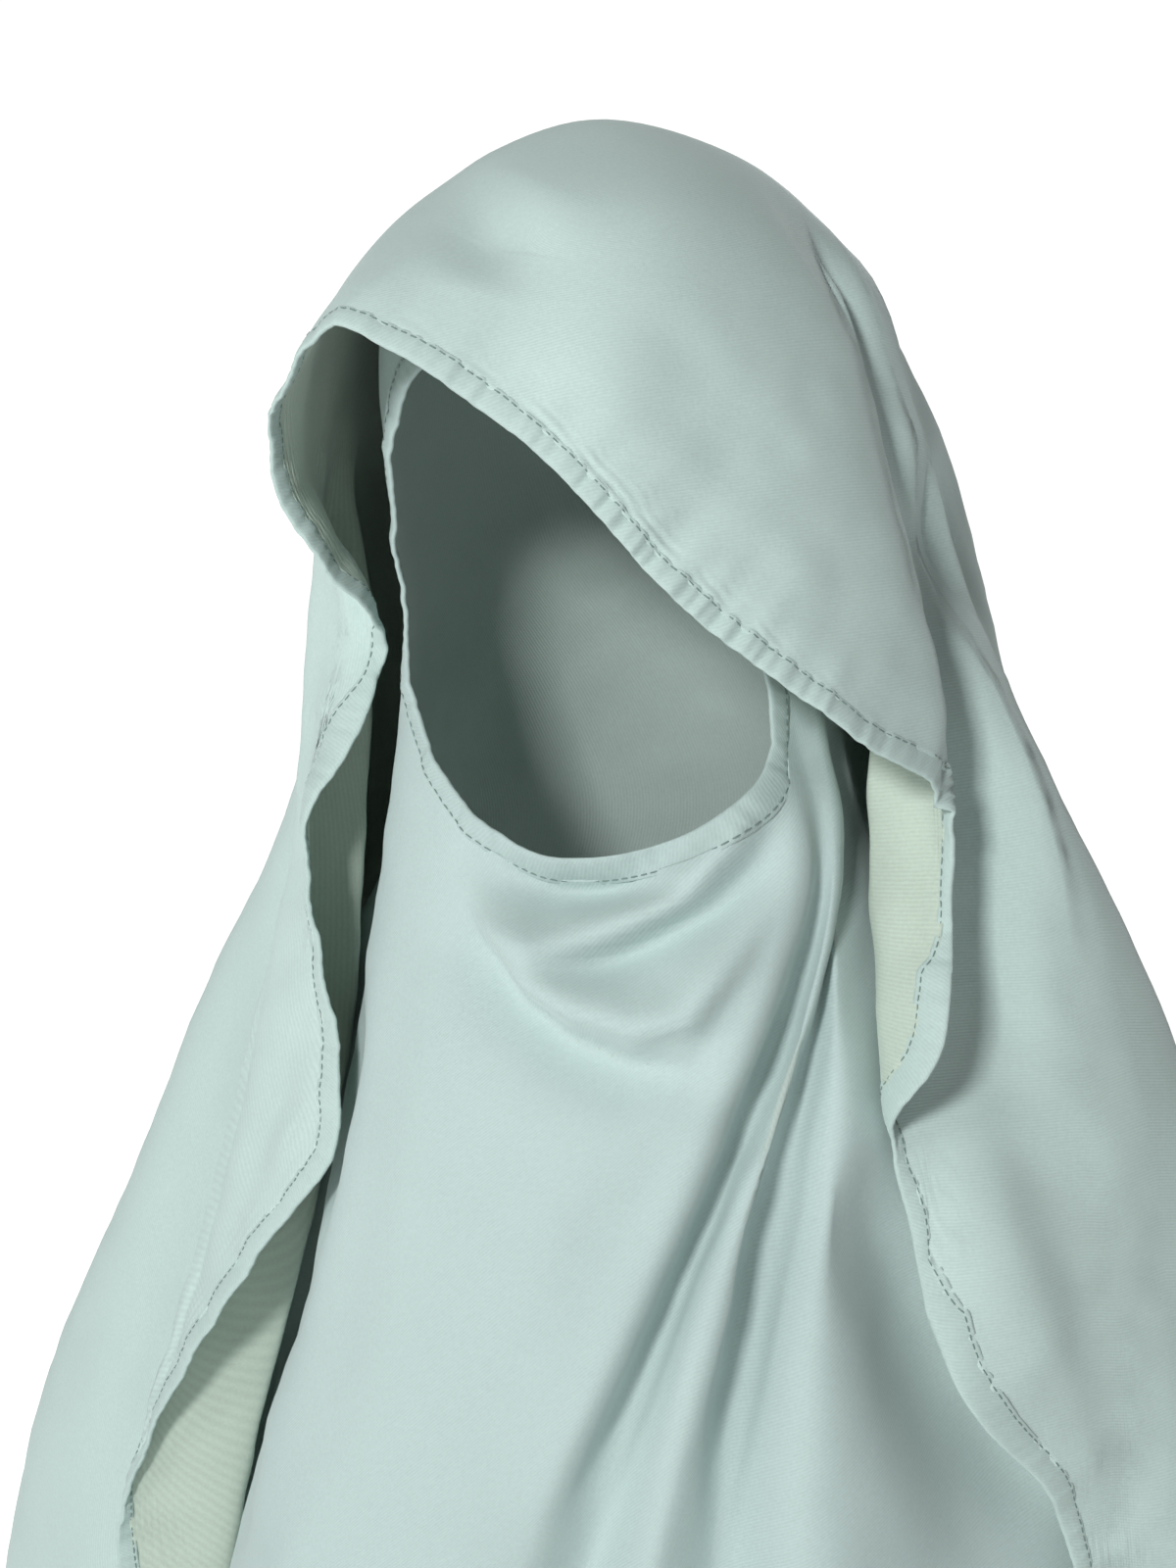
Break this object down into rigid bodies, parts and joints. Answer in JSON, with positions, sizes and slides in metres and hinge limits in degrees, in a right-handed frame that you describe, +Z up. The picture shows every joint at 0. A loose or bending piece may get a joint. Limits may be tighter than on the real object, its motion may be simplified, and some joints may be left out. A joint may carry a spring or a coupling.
{
  "type": "khimar veil",
  "caption": "Hip-length khimar veil: a loose outer veil with a turned hem, draped over a close inner hood that widens into a cape, with an open face.",
  "frame": {"origin": "inside the top of the inner hood, where its crown sits on the top of a head", "axes": "+Z up out of the crown, -Y the way the face looks, +X towards the wearer's left"},
  "size_m": [0.6501, 0.4273, 0.8679],
  "materials": {
    "outer_crepe": "matte crepe with a fine diagonal twill and a soft sheen, pale sage green",
    "outer_hem_crepe": "the same crepe turned twice and stitched, a little denser and darker",
    "inner_crepe": "matte crepe with a fine diagonal twill, pale sage green",
    "inner_hem_crepe": "the same crepe turned twice and stitched"
  },
  "bodies": {
    "root": {"outer_veil": "outer_crepe", "outer_edge_hem": "outer_hem_crepe", "inner_hood_cape": "inner_crepe", "face_hem": "inner_hem_crepe", "cape_lower_hem": "inner_hem_crepe"}
  },
  "joints": []
}
